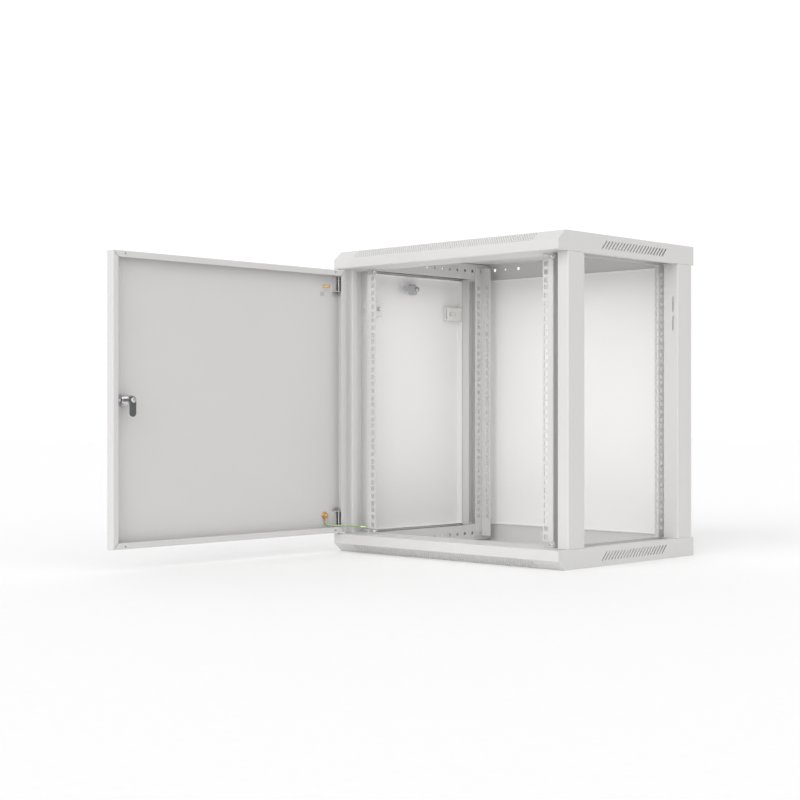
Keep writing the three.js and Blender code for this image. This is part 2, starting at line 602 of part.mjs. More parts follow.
function frameNodes() {
  const nodes = [
    mesh('top_frame', topFrame(), PAINT),
    mesh('bottom_frame', bottomFrame(), PAINT),
    mesh('back_panel', backPanel(), PAINT_INSIDE),
    mesh('top_cable_cover', cableCover(overTop), PAINT),
    mesh('bottom_cable_cover', cableCover(overBottom), PAINT),
  ];
  SIDES.forEach(([name, side]) => {
    nodes.push(
      mesh(`front_${name}_post`, frontPost(side), PAINT),
      mesh(`rear_${name}_post`, rearPost(side), PAINT),
      mesh(`front_${name}_rail`, frontRail(side), PAINT),
      mesh(`rear_${name}_rail`, rearRail(side), PAINT),
      mesh(`upper_${name}_bracket`, depthBracket(side, overTop), PAINT),
      mesh(`lower_${name}_bracket`, depthBracket(side, overBottom), PAINT),
      mesh(`front_${name}_bolt_upper`, footBolt(side, true), ZINC),
      mesh(`front_${name}_bolt_lower`, footBolt(side, false), ZINC),
      mesh(`rear_${name}_bolt_upper`, webBolt(side, true), ZINC),
      mesh(`rear_${name}_bolt_lower`, webBolt(side, false), ZINC),
      mesh(`fan_cover_${name}`, cover(overTop, [side * FAN.x, FAN.y], [FAN.cover, FAN.cover]), PAINT),
    );
  });
  return nodes;
}

const cabinet = new THREE.Group();
cabinet.add(...frameNodes(), ...frameEarth(), door(), sidePanelGroup());
cabinet.add(mesh('earth_lead', earthLead(), LEAD));

export default cabinet;
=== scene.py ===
import math

import bmesh
import bpy
from mathutils import Matrix, Vector


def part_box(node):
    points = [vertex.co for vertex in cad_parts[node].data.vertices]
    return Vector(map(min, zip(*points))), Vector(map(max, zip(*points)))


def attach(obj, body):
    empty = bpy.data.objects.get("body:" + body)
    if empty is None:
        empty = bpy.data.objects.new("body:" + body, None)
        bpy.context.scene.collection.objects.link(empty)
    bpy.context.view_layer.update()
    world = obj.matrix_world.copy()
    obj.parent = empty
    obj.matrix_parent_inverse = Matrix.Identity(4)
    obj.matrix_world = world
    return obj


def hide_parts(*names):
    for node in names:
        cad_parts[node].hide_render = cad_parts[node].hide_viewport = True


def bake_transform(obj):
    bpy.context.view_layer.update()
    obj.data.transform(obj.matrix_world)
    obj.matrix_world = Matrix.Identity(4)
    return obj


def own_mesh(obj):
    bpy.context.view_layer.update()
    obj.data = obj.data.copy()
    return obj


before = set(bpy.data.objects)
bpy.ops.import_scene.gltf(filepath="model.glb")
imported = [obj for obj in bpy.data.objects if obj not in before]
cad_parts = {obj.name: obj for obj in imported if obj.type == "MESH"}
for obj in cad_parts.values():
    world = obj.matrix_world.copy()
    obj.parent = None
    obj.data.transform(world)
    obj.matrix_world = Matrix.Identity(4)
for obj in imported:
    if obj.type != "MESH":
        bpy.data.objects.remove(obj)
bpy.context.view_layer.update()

# The looks of a 19-inch wall cabinet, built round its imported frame.
# Mesh code below works in millimetres, in the frame's own axes, and is scaled to metres at the end.
MM = 0.001
SHEET = 1.5               # trays, posts and brackets
PANEL_SHEET = 1.2         # door and panels
RAIL_SHEET = 2.0
FOLD = 2.4                # outer radius of a fold in the sheet
HALF_WIDTH = 300.0
HALF_DEPTH = 225.0
HEIGHT = 635.0
LIP_Z = 597.0             # underside of the top tray
THROUGH = 4.0             # how far a cutter runs past the face that it goes through
SIDES = (("left", -1), ("right", 1))


def span(node):
    """A node's range along X, Y and Z, in millimetres."""
    low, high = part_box(node)
    return [(low[i] / MM, high[i] / MM) for i in range(3)]


def centre_of(node, axis):
    """The middle of a node, seen along an axis."""
    return tuple(sum(ends) / 2 for ends, name in zip(span(node), "xyz") if name != axis)


# ---------------- materials

def new_material(name):
    material = bpy.data.materials.new(name)
    material.use_nodes = True
    nodes = material.node_tree.nodes
    return material, nodes, material.node_tree.links, nodes["Principled BSDF"]


def noise(nodes, links, scale, detail):
    coordinates = nodes.new("ShaderNodeTexCoord")
    texture = nodes.new("ShaderNodeTexNoise")
    texture.inputs["Scale"].default_value = scale
    texture.inputs["Detail"].default_value = detail
    links.new(coordinates.outputs["Object"], texture.inputs["Vector"])
    return texture


def remap(nodes, links, source, low, high, from_low=0.3, from_high=0.7):
    ranged = nodes.new("ShaderNodeMapRange")
    ranged.inputs["From Min"].default_value = from_low
    ranged.inputs["From Max"].default_value = from_high
    ranged.inputs["To Min"].default_value = low
    ranged.inputs["To Max"].default_value = high
    links.new(source, ranged.inputs["Value"])
    return ranged.outputs["Result"]


def mix_colors(nodes, links, factor, first, second):
    mix = nodes.new("ShaderNodeMix")
    mix.data_type = "RGBA"
    mix.inputs["A"].default_value = (*first, 1)
    mix.inputs["B"].default_value = (*second, 1)
    links.new(factor, mix.inputs["Factor"])
    return mix.outputs["Result"]


def tint(nodes, links, shader, source, color, drift):
    """Lets the base colour wander from the given one to a slightly darker one."""
    tone = remap(nodes, links, source, 0.0, 1.0)
    darker = tuple(c * (1 - drift) for c in color)
    links.new(mix_colors(nodes, links, tone, darker, color), shader.inputs["Base Color"])


def bump(nodes, links, height, strength, distance, normal=None):
    node = nodes.new("ShaderNodeBump")
    node.inputs["Strength"].default_value = strength
    node.inputs["Distance"].default_value = distance
    links.new(height, node.inputs["Height"])
    if normal is not None:
        links.new(normal, node.inputs["Normal"])
    return node.outputs["Normal"]


def powder_coat(name, color, roughness=0.42):
    """Fine-texture powder coat: faint orange peel over a fine grain, with slight tone and gloss drift."""
    material, nodes, links, shader = new_material(name)
    drift = noise(nodes, links, 5.0, 2.0)
    tint(nodes, links, shader, drift.outputs["Fac"], color, 0.015)
    grain = noise(nodes, links, 1500.0, 2.0)
    peel = noise(nodes, links, 260.0, 1.5)
    gloss = remap(nodes, links, grain.outputs["Fac"], roughness - 0.04, roughness + 0.06)
    links.new(gloss, shader.inputs["Roughness"])
    soft = bump(nodes, links, peel.outputs["Fac"], 0.10, 0.0004)
    links.new(bump(nodes, links, grain.outputs["Fac"], 0.12, 0.00012, soft), shader.inputs["Normal"])
    shader.inputs["Specular IOR Level"].default_value = 0.45
    return material


def metal(name, color, roughness, streaks):
    """Plated or turned metal: bright, with a gloss that varies along fine streaks."""
    material, nodes, links, shader = new_material(name)
    shader.inputs["Metallic"].default_value = 1.0
    coordinates = nodes.new("ShaderNodeTexCoord")
    stretch = nodes.new("ShaderNodeMapping")
    stretch.inputs["Scale"].default_value = streaks
    links.new(coordinates.outputs["Object"], stretch.inputs["Vector"])
    texture = nodes.new("ShaderNodeTexNoise")
    texture.inputs["Scale"].default_value = 1.0
    texture.inputs["Detail"].default_value = 4.0
    links.new(stretch.outputs["Vector"], texture.inputs["Vector"])
    tint(nodes, links, shader, texture.outputs["Fac"], color, 0.10)
    gloss = remap(nodes, links, texture.outputs["Fac"], roughness, roughness + 0.12)
    links.new(gloss, shader.inputs["Roughness"])
    links.new(bump(nodes, links, texture.outputs["Fac"], 0.08, 0.0001), shader.inputs["Normal"])
    return material


def plastic(name, color, roughness):
    """Moulded plastic: a fine spark-eroded grain and a slight change of gloss."""
    material, nodes, links, shader = new_material(name)
    grain = noise(nodes, links, 2200.0, 2.0)
    tint(nodes, links, shader, grain.outputs["Fac"], color, 0.05)
    gloss = remap(nodes, links, grain.outputs["Fac"], roughness, roughness + 0.08)
    links.new(gloss, shader.inputs["Roughness"])
    links.new(bump(nodes, links, grain.outputs["Fac"], 0.08, 0.00008), shader.inputs["Normal"])
    return material


MATERIALS = {
    "powder_coat": powder_coat("powder_coat", (0.635, 0.63, 0.622)),
    # The panels' coat is the frame's grey paint made lighter: painted light, for the light that falls on the
    # back and side panels inside the cabinet.
    "panel_coat": powder_coat("panel_coat", (0.83, 0.822, 0.812)),
    "zinc": metal("zinc", (0.62, 0.64, 0.67), 0.26, (700, 700, 90)),
    "lock_chrome": metal("lock_chrome", (0.66, 0.66, 0.67), 0.16, (60, 900, 900)),
    "cam_steel": metal("cam_steel", (0.16, 0.16, 0.165), 0.34, (900, 900, 120)),
    "hinge_steel": metal("hinge_steel", (0.72, 0.72, 0.73), 0.20, (900, 900, 60)),
    "brass": metal("brass", (0.78, 0.52, 0.20), 0.20, (60, 900, 900)),
    "copper": metal("copper", (0.72, 0.36, 0.20), 0.26, (700, 700, 200)),
    "white_plastic": plastic("white_plastic", (0.74, 0.74, 0.72), 0.36),
    "lead_sheath": plastic("lead_sheath", (0.22, 0.46, 0.24), 0.42),
    "lead_stripe": plastic("lead_stripe", (0.66, 0.66, 0.32), 0.42),
    "label_grey": plastic("label_grey", (0.50, 0.50, 0.50), 0.5),
}


# ---------------- mesh code

def fillet(points, radii, steps=4):
    """A line through points, with an arc of the given radius at each inner point."""
    rounded = [points[0]]
    for i in range(1, len(points) - 1):
        here = Vector(points[i])
        back = (Vector(points[i - 1]) - here).normalized()
        on = (Vector(points[i + 1]) - here).normalized()
        half = back.angle(on) / 2
        reach = radii[i] / math.tan(half)
        centre = here + (back + on).normalized() * radii[i] / math.sin(half)
        first = here + back * reach - centre
        turn = first.angle_signed(here + on * reach - centre)
        for step in range(steps + 1):
            angle = -turn * step / steps
            arm = Vector((first.x * math.cos(angle) - first.y * math.sin(angle),
                          first.x * math.sin(angle) + first.y * math.cos(angle)))
            rounded.append(tuple(centre + arm))
    return rounded + [points[-1]]


def folded(line, thickness, radius=FOLD):
    """The outline of a sheet folded along a line, its thickness lying to the line's right."""
    def right(a, b):
        return Vector((b[1] - a[1], a[0] - b[0])).normalized()

    last = len(line) - 1
    other = []
    outer_radii = [0] * len(line)
    inner_radii = [0] * len(line)
    for i, point in enumerate(line):
        before = right(line[max(i - 1, 0)], line[max(i, 1)])
        after = right(line[min(i, last - 1)], line[min(i + 1, last)])
        other.append(tuple(Vector(point) + (before + after) * thickness / (1 + before.dot(after))))
        turns_right = before.x * after.y - before.y * after.x < 0
        outer_radii[i] = radius if turns_right else radius - thickness
        inner_radii[i] = radius - thickness if turns_right else radius
    return fillet(line, outer_radii) + fillet(other, inner_radii)[::-1]


def place_outline(point, axis, along):
    a, b = point
    return {"x": (along, a, b), "y": (a, along, b), "z": (a, b, along)}[axis]


def loft(mesh, rings):
    """A solid through rings of vertices, with flat ends."""
    count = len(rings[0])
    for first, second in zip(rings, rings[1:]):
        for i in range(count):
            j = (i + 1) % count
            mesh.faces.new((first[i], first[j], second[j], second[i]))
    mesh.faces.new(rings[0])
    mesh.faces.new(rings[-1])


def prism(mesh, outline, axis, low, high):
    """A closed outline drawn out along an axis. It lies in the other two axes, in X, Y, Z order."""
    loft(mesh, [[mesh.verts.new(place_outline(p, axis, along)) for p in outline] for along in (low, high)])


def punch(mesh, outline, axis, at):
    """A cutter for a hole right through the sheet that lies at a place along an axis."""
    prism(mesh, outline, axis, at - THROUGH, at + THROUGH)


def drill(mesh, centre, radius, axis, at, sides=20):
    punch(mesh, ring_outline(centre, radius, sides), axis, at)


def brick(mesh, x, y, z):
    prism(mesh, [(x[0], y[0]), (x[1], y[0]), (x[1], y[1]), (x[0], y[1])], "z", z[0], z[1])


def arc(centre, radius, start, end, steps):
    return [(centre[0] + radius * math.cos(start + (end - start) * i / steps),
             centre[1] + radius * math.sin(start + (end - start) * i / steps)) for i in range(steps + 1)]


def ring_outline(centre, radius, sides, phase=0.0):
    return [(centre[0] + radius * math.cos(phase + 2 * math.pi * i / sides),
             centre[1] + radius * math.sin(phase + 2 * math.pi * i / sides)) for i in range(sides)]


def stadium(start, end, radius, steps=6):
    """The outline of a slot with round ends, from one end's centre to the other's."""
    lean = math.atan2(end[1] - start[1], end[0] - start[0])
    quarter = math.pi / 2
    return arc(start, radius, lean + quarter, lean + 3 * quarter, steps) \
        + arc(end, radius, lean - quarter, lean + quarter, steps)


def rounded_rectangle(x, y, radius, steps=4):
    quarter = math.pi / 2
    corners = [(x[1] - radius, y[1] - radius), (x[0] + radius, y[1] - radius),
               (x[0] + radius, y[0] + radius), (x[1] - radius, y[0] + radius)]
    return [p for i, c in enumerate(corners) for p in arc(c, radius, i * quarter, (i + 1) * quarter, steps)]


def lathe(mesh, profile, centre, axis, segments=32, phase=0.0):
    """A profile of (radius, distance along the axis) turned round the axis. Radius 0 is a point."""
    rings = []
    for radius, along in profile:
        outline = [centre] if radius == 0 else ring_outline(centre, radius, segments, phase)
        rings.append([mesh.verts.new(place_outline(p, axis, along)) for p in outline])
    closed = profile[0][0] != 0
    pairs = list(zip(rings, rings[1:])) + ([(rings[-1], rings[0])] if closed else [])
    for first, second in pairs:
        for i in range(segments):
            j = (i + 1) % segments
            if len(first) == 1:
                mesh.faces.new((first[0], second[i], second[j]))
            elif len(second) == 1:
                mesh.faces.new((first[i], second[0], first[j]))
            else:
                mesh.faces.new((first[i], second[i], second[j], first[j]))


def groove(mesh, inner, outer, low, high, centre, axis, segments):
    """A flat ring, to be sunk into a face."""
    lathe(mesh, [(inner, low), (outer, low), (outer, high), (inner, high)], centre, axis, segments)


def tube(mesh, points, radius, sides=12):
    """A round bar along a line of points, with flat ends."""
    points = [Vector(p) for p in points]
    last = len(points) - 1
    normal = None
    rings = []
    for i, point in enumerate(points):
        tangent = (points[min(i + 1, last)] - points[max(i - 1, 0)]).normalized()
        if normal is None:
            normal = tangent.orthogonal().normalized()
        normal = (normal - tangent * normal.dot(tangent)).normalized()
        side = tangent.cross(normal)
        rings.append([mesh.verts.new(point + (normal * math.cos(a) + side * math.sin(a)) * radius)
                      for a in (2 * math.pi * k / sides for k in range(sides))])
    loft(mesh, rings)


def add_object(name, data):
    made = bpy.data.objects.new(name, data)
    bpy.context.scene.collection.objects.link(made)
    return made


def to_object(name, mesh):
    bmesh.ops.recalc_face_normals(mesh, faces=mesh.faces[:])
    data = bpy.data.meshes.new(name)
    mesh.to_mesh(data)
    mesh.free()
    data.transform(Matrix.Scale(MM, 4))
    return add_object(name, data)


def solid(name, draw, *arguments, **settings):
    mesh = bmesh.new()
    draw(mesh, *arguments, **settings)
    return to_object(name, mesh)


def apply_modifiers(piece):
    evaluated = piece.evaluated_get(bpy.context.evaluated_depsgraph_get())
    piece.data = bpy.data.meshes.new_from_object(evaluated)
    piece.modifiers.clear()


def combine(piece, operation, *others):
    """Joins other solids to a piece, or cuts them out of it."""
    for other in others:
        modifier = piece.modifiers.new(operation.lower(), "BOOLEAN")
        modifier.operation = operation
        modifier.solver = "MANIFOLD"
        modifier.object = other
        apply_modifiers(piece)
        bpy.data.objects.remove(other)
    return piece


def join(piece, *others):
    return combine(piece, "UNION", *others)


def cut(piece, *others):
    return combine(piece, "DIFFERENCE", *others)


def bevel(piece, width, segments=2, angle=40, apply=False):
    modifier = piece.modifiers.new("bevel", "BEVEL")
    modifier.width = width * MM
    modifier.segments = segments
    modifier.limit_method = "ANGLE"
    modifier.angle_limit = math.radians(angle)
    if apply:
        apply_modifiers(piece)
    return piece


def smooth(piece, angle=38):
    piece.data.shade_smooth()
    piece.data.set_sharp_from_angle(angle=math.radians(angle))
    weighted = piece.modifiers.new("normals", "WEIGHTED_NORMAL")
    weighted.keep_sharp = True
    return piece


def dress(piece, body, slot, *nodes):
    """Gives a piece its smooth shading, material and slot, and sets it on its body for its CAD nodes."""
    piece.data.materials.clear()
    piece.data.materials.append(MATERIALS[slot])
    smooth(piece)
    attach(piece, body)
    if nodes:
        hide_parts(*nodes)
    return piece


# ---------------- the two trays

CHAMFER = (21.0, 18.0)
BEAM_DEPTH = 81.0
BEAM_RETURN = 15.0
SIDE_LIP = {"outer": 299.5, "inner": 286.0, "y": (-145.0, 224.0)}
CORNER_PLATE = {"inner": 262.0, "y": (168.0, 224.0)}
HINGE_AT = (-291.5, -219.5)
HINGE_BORE = 2.65
FOOT_BOLT = (238.0, -165.0)
FOOT_HOLE = 3.4
VENT = {"first": -89.7, "pitch": 10.0, "count": 21, "lean": 17.0, "low": 607.0, "high": 625.0, "radius": 1.7}
WALL_HOLE = {"x": (165.0, 234.6), "z": 620.5, "radius": 3.8}
PRESSED_RING = {"x": 190.5, "inner": 4.4, "outer": 5.0, "y": (223.1, 223.9)}
RIVET_HOLE = {"x": 203.5, "radius": 2.2}
PERFORATION = {"half": 243.0, "pitch": 5.8, "rows": 7, "row": 3.4, "radius": 1.25}
FAN = {"x": 118.0, "y": 10.0, "radius": 54.0}
CABLE_ENTRY = {"y": (125.0, 175.0), "half": 150.0, "corner": 6.0}


def foot_bolt(side):
    return side * FOOT_BOLT[0], FOOT_BOLT[1]


def tray_outlines(flip):
    front, back = -HALF_DEPTH, HALF_DEPTH
    outline = [(front, LIP_Z), (front, HEIGHT - CHAMFER[1]), (front + CHAMFER[0], HEIGHT),
               (back, HEIGHT), (back, LIP_Z)]
    inner = front + BEAM_DEPTH
    line = [(inner, LIP_Z + BEAM_RETURN), (inner, LIP_Z)] + outline
    radii = [0] + [FOLD] * 3 + [0]
    return ([(y, flip(z)) for y, z in folded(line, SHEET)],
            [(y, flip(z)) for y, z in fillet(outline, radii)])


def tray_cutters(flip, is_top):
    """Everything that is punched out of a tray, as separate solids in one mesh."""
    mesh = bmesh.new()
    for row in range(PERFORATION["rows"]):
        offset = (row - (PERFORATION["rows"] - 1) / 2) * PERFORATION["row"]
        perforation_row(mesh, flip, offset, 0.5 * (row % 2))
    for _, side in SIDES:
        vent_slots(mesh, flip, is_top, side)
        drill(mesh, foot_bolt(side), FOOT_HOLE, "z", flip(LIP_Z), 16)
        if is_top:
            top_holes(mesh, side)
    drill(mesh, HINGE_AT, HINGE_BORE, "z", flip(LIP_Z))
    half = CABLE_ENTRY["half"]
    punch(mesh, rounded_rectangle((-half, half), CABLE_ENTRY["y"], CABLE_ENTRY["corner"]), "z", flip(HEIGHT))
    return to_object("tray_cutters", mesh)


def vent_slots(mesh, flip, is_top, side):
    """The slanted slots of a tray's side. They lean the same way on both trays."""
    radius = VENT["radius"]
    lean = VENT["lean"] / (VENT["high"] - VENT["low"]) * radius
    low, high = (VENT["low"], VENT["high"]) if is_top else (flip(VENT["high"]), flip(VENT["low"]))
    for i in range(VENT["count"]):
        y = VENT["first"] + i * VENT["pitch"]
        slot = stadium((y + lean, low + radius), (y + VENT["lean"] - lean, high - radius), radius)
        punch(mesh, slot, "x", side * HALF_WIDTH)


def top_holes(mesh, side):
    """The fan opening, wall-mounting holes, pressed ring and rivet hole on one side of the top tray."""
    drill(mesh, (side * FAN["x"], FAN["y"]), FAN["radius"], "z", HEIGHT, 64)
    level = WALL_HOLE["z"]
    for x in WALL_HOLE["x"]:
        drill(mesh, (side * x, level), WALL_HOLE["radius"], "y", HALF_DEPTH)
    groove(mesh, PRESSED_RING["inner"], PRESSED_RING["outer"], *PRESSED_RING["y"],
           (side * PRESSED_RING["x"], level), "y", 32)
    drill(mesh, (side * RIVET_HOLE["x"], level), RIVET_HOLE["radius"], "y", HALF_DEPTH, 16)


def perforation_row(mesh, flip, offset, stagger):
    """One row of small round holes across the chamfer of a tray's front beam."""
    slope = Vector((-CHAMFER[0], -CHAMFER[1])).normalized()
    outward = Vector((slope.y, -slope.x))
    middle = Vector((CHAMFER[0] / 2 - HALF_DEPTH, HEIGHT - CHAMFER[1] / 2)) + slope * offset
    hole = ring_outline((0, 0), PERFORATION["radius"], 8)
    for column in range(int(2 * PERFORATION["half"] / PERFORATION["pitch"])):
        x = -PERFORATION["half"] + (column + stagger) * PERFORATION["pitch"]
        rings = []
        for depth in (-THROUGH, THROUGH):
            centre = middle + outward * depth
            places = [(x + across, centre + slope * along) for across, along in hole]
            rings.append([mesh.verts.new((at_x, at.x, flip(at.y))) for at_x, at in places])
        loft(mesh, rings)


def make_tray(node):
    is_top = node == "top_frame"
    flip = (lambda z: z) if is_top else (lambda z: HEIGHT - z)
    sheet, end = tray_outlines(flip)
    lip = sorted((flip(LIP_Z), flip(LIP_Z + SHEET)))
    reach = HALF_WIDTH - SHEET / 2
    tray = solid(node, prism, sheet, "x", -reach, reach)
    for _, side in SIDES:
        outer = side * SIDE_LIP["outer"]
        plate = solid("end", prism, end, "x", *sorted((side * (HALF_WIDTH - SHEET), side * HALF_WIDTH)))
        inner = solid("lip", brick, sorted((side * SIDE_LIP["inner"], outer)), SIDE_LIP["y"], lip)
        corner = solid("corner", brick, sorted((side * CORNER_PLATE["inner"], outer)), CORNER_PLATE["y"], lip)
        join(tray, plate, inner, corner)
    bevel(tray, 0.4, apply=True)
    cut(tray, tray_cutters(flip, is_top))
    return dress(tray, "cabinet", "powder_coat", node)


# ---------------- posts and panels

POST_RETURN = 34.0
POST_FACE = 26.0
POST_LIP = 10.0
LATCH_X = 288.0
SLOT_RADIUS = 2.2
POST_SLOTS = ((502.2, 528.8), (463.2, 488.8))
PANEL_SLOTS = ((509.2, 526.8),)
STRIKE = {"y": (2.0, 14.0), "z": (283.5, 328.0), "corner": 1.5}
LOCK_BORE = 9.3


def latch_slots(side, slots, places):
    """Upright slots with round ends, at each of the places along Y."""
    mesh = bmesh.new()
    for y in places:
        for low, high in slots:
            punch(mesh, stadium((side * LATCH_X, low), (side * LATCH_X, high), SLOT_RADIUS), "y", y)
    return to_object("slots", mesh)


def make_post(name, side, is_front):
    node = f"{'front' if is_front else 'rear'}_{name}_post"
    _, (y0, y1), z = span(node)
    face, hidden = HALF_WIDTH - POST_FACE, HALF_WIDTH - POST_RETURN
    if is_front:
        line = [(hidden, y1), (HALF_WIDTH, y1), (HALF_WIDTH, y0), (face, y0), (face, y0 + POST_LIP)]
        slotted = y1
    else:
        line = [(face, y1), (HALF_WIDTH, y1), (HALF_WIDTH, y0), (hidden, y0)]
        slotted = y0
    outline = [(side * x, y) for x, y in folded(line, SHEET)]
    post = solid(node, prism, outline, "z", *z)
    bevel(post, 0.35, apply=True)
    cut(post, latch_slots(side, POST_SLOTS, (slotted,)))
    if is_front and side > 0:
        low, high = STRIKE["y"]
        strike = rounded_rectangle((y0 + low, y0 + high), STRIKE["z"], STRIKE["corner"])
        cut(post, solid("strike", prism, strike, "x", face - 2.0, face + 3.0))
    return dress(post, "cabinet", "powder_coat", node)


def tray_panel(name, axis, opens_high):
    """A shallow pressed tray: a box with rounded folds, hollowed from its open side."""
    ranges = span(name)
    panel = solid(name, brick, *ranges)
    bevel(panel, 2.0, segments=4, apply=True)
    inside = [[low + PANEL_SHEET, high - PANEL_SHEET] for low, high in ranges]
    inside["xyz".index(axis)][opens_high] += 20 if opens_high else -20
    hollow = solid("hollow", brick, *inside)
    bevel(hollow, 1.1, segments=3, apply=True)
    return cut(panel, hollow)


def make_back_panel():
    panel = tray_panel("back_panel", "y", False)
    # The back panel's lighter coat is painted light: the same paint as the frame, made lighter.
    return dress(bevel(panel, 0.25), "cabinet", "panel_coat", "back_panel")


def make_side_panel():
    panel = tray_panel("left_side_panel", "x", True)
    (skin, _), y, _ = span("left_side_panel")
    bore = solid("bore", drill, centre_of("side_lock_body", "x"), LOCK_BORE, "x", skin, 40)
    cut(panel, bore, latch_slots(-1, PANEL_SLOTS, y))
    # The side panel's lighter coat is painted light: the same paint as the frame, made lighter.
    return dress(bevel(panel, 0.25), "side_panel", "panel_coat", "left_side_panel")


# ---------------- rails and brackets

RACK_UNITS = 12
UNIT = 44.45
HOLE_OFFSETS = (6.35, 22.225, 38.1)
SQUARE_HOLE = 9.5
SCREW_X = 232.55
RAIL_X = (225.0, 250.0)
FLANGE_Z = (49.5, 585.5)
WEB_HOLE = {"y": (178.0, 186.0), "half": 4.0, "corner": 0.6}
BRACKET_HOLE = {"z": 19.0, "last": 188.4, "pitch": 25.4, "count": 13, "radius": 3.6}
HOLE_HEIGHTS = [(HEIGHT - RACK_UNITS * UNIT) / 2 + unit * UNIT + offset
                for unit in range(RACK_UNITS) for offset in HOLE_OFFSETS]


def hole_cutters(side, y):
    """The square holes, three to each rack unit."""
    mesh = bmesh.new()
    half = SQUARE_HOLE / 2
    x = side * SCREW_X
    for z in HOLE_HEIGHTS:
        punch(mesh, rounded_rectangle((x - half, x + half), (z - half, z + half), 0.7, 2), "y", y)
    return to_object("holes", mesh)


def make_front_rail(name, side):
    node = f"front_{name}_rail"
    _, (y0, y1), (z0, z1) = span(node)
    free, web = RAIL_X
    line = [(web, y1), (web, y0), (free, y0)]
    outline = [(side * x, y) for x, y in folded(line, RAIL_SHEET)]
    rail = solid(node, prism, outline, "z", *FLANGE_Z)
    cut(rail, hole_cutters(side, y0))
    wall_x = sorted((side * (web - RAIL_SHEET), side * web))
    foot_x = sorted((side * (free + 1), side * (web - 0.5)))
    for foot_z, wall_z in (((z0, z0 + RAIL_SHEET), (z0, FLANGE_Z[0] + 8)),
                           ((z1 - RAIL_SHEET, z1), (FLANGE_Z[1] - 8, z1))):
        wall = solid("web", brick, wall_x, (y0 + 4, y1), wall_z)
        foot = solid("foot", brick, foot_x, (y0 + 1, y1), foot_z)
        hole = solid("hole", drill, foot_bolt(side), FOOT_HOLE, "z", foot_z[0], 16)
        join(rail, wall, cut(foot, hole))
    return dress(bevel(rail, 0.3), "cabinet", "powder_coat", node)


def make_rear_rail(name, side):
    node = f"rear_{name}_rail"
    _, (y0, y1), z = span(node)
    free, web = RAIL_X
    line = [(free, y1), (web, y1), (web, y0)]
    outline = [(side * x, y) for x, y in folded(line, RAIL_SHEET)]
    rail = solid(node, prism, outline, "z", *z)
    cut(rail, hole_cutters(side, y1))
    web_holes = bmesh.new()
    for level in (BRACKET_HOLE["z"], HEIGHT - BRACKET_HOLE["z"]):
        drill(web_holes, (BRACKET_HOLE["last"], level), BRACKET_HOLE["radius"], "x", side * web)
    for height in HOLE_HEIGHTS:
        ends = (height - WEB_HOLE["half"], height + WEB_HOLE["half"])
        punch(web_holes, rounded_rectangle(WEB_HOLE["y"], ends, WEB_HOLE["corner"], 2), "x", side * web)
    cut(rail, to_object("web_holes", web_holes))
    return dress(bevel(rail, 0.3), "cabinet", "powder_coat", node)


def make_bracket(node, side):
    (x0, x1), (y0, y1), (z0, z1) = span(node)
    inner, outer = (x0, x1) if side > 0 else (-x1, -x0)
    is_top = z1 > HEIGHT / 2
    foot_z, free_z = (z1, z0) if is_top else (z0, z1)
    line = [(outer, foot_z), (inner, foot_z), (inner, free_z)]
    if is_top:
        line = line[::-1]
    outline = [(side * x, z) for x, z in folded(line, SHEET)]
    bracket = solid(node, prism, outline, "y", y0, y1)
    holes = bmesh.new()
    z = HEIGHT - BRACKET_HOLE["z"] if is_top else BRACKET_HOLE["z"]
    for i in range(BRACKET_HOLE["count"]):
        y = BRACKET_HOLE["last"] - BRACKET_HOLE["pitch"] * i
        drill(holes, (y, z), BRACKET_HOLE["radius"], "x", side * inner)
    cut(bracket, to_object("holes", holes))
    return dress(bevel(bracket, 0.3), "cabinet", "powder_coat", node)


HEAD = {"radius": 6.0, "height": 4.0, "washer": 0.9, "space": 4.2}
THREAD_DEPTH = 0.35


def make_bolt(node, axis, seat, outward, shank, length):
    """A hexagon bolt with a washer face. outward is the direction from the seat to the head."""
    centre = centre_of(node, axis)
    radius = HEAD["radius"]
    head = solid(node, prism, ring_outline(centre, radius, 6, math.pi / 6), axis,
                 *sorted((seat + outward * HEAD["washer"], seat + outward * HEAD["height"])))
    bevel(head, 0.5, apply=True)
    rim = radius * 0.98
    profile = [(0, seat + outward), (rim, seat + outward), (rim, seat), (0, seat)]
    washer = solid("washer", lathe, profile, centre, axis)
    tip = seat - outward * length
    profile = [(0, seat + outward * 0.5), (shank, seat + outward * 0.5)]
    turns = int(length)
    for i in range(turns):
        along = seat - outward * (i + 0.5) * length / turns
        profile += [(shank, along), (shank - THREAD_DEPTH, along - outward * 0.45 * length / turns)]
    profile += [(shank - 0.5, tip), (0, tip)]
    bolt = join(head, washer, solid("shank", lathe, profile, centre, axis, 24))
    dress(bolt, "cabinet", "zinc", node)


def make_bolts():
    for name, side in SIDES:
        for level, outward in (("upper", -1), ("lower", 1)):
            node = f"front_{name}_bolt_{level}"
            _, _, (low, high) = span(node)
            seat = low + HEAD["space"] if level == "upper" else high - HEAD["space"]
            make_bolt(node, "z", seat, outward, 2.9, 12.8)
            node = f"rear_{name}_bolt_{level}"
            (low, high), _, _ = span(node)
            seat = high - HEAD["space"] if side > 0 else low + HEAD["space"]
            make_bolt(node, "x", seat, side, 3.0, 5.0)


# ---------------- covers

FAN_MESH = {"pitch": 7.2, "reach": 49.0, "radius": 2.7}
KNOCKOUT = {"pitch": 92.0, "inner": 17.0, "outer": 18.0, "depth": 0.5}


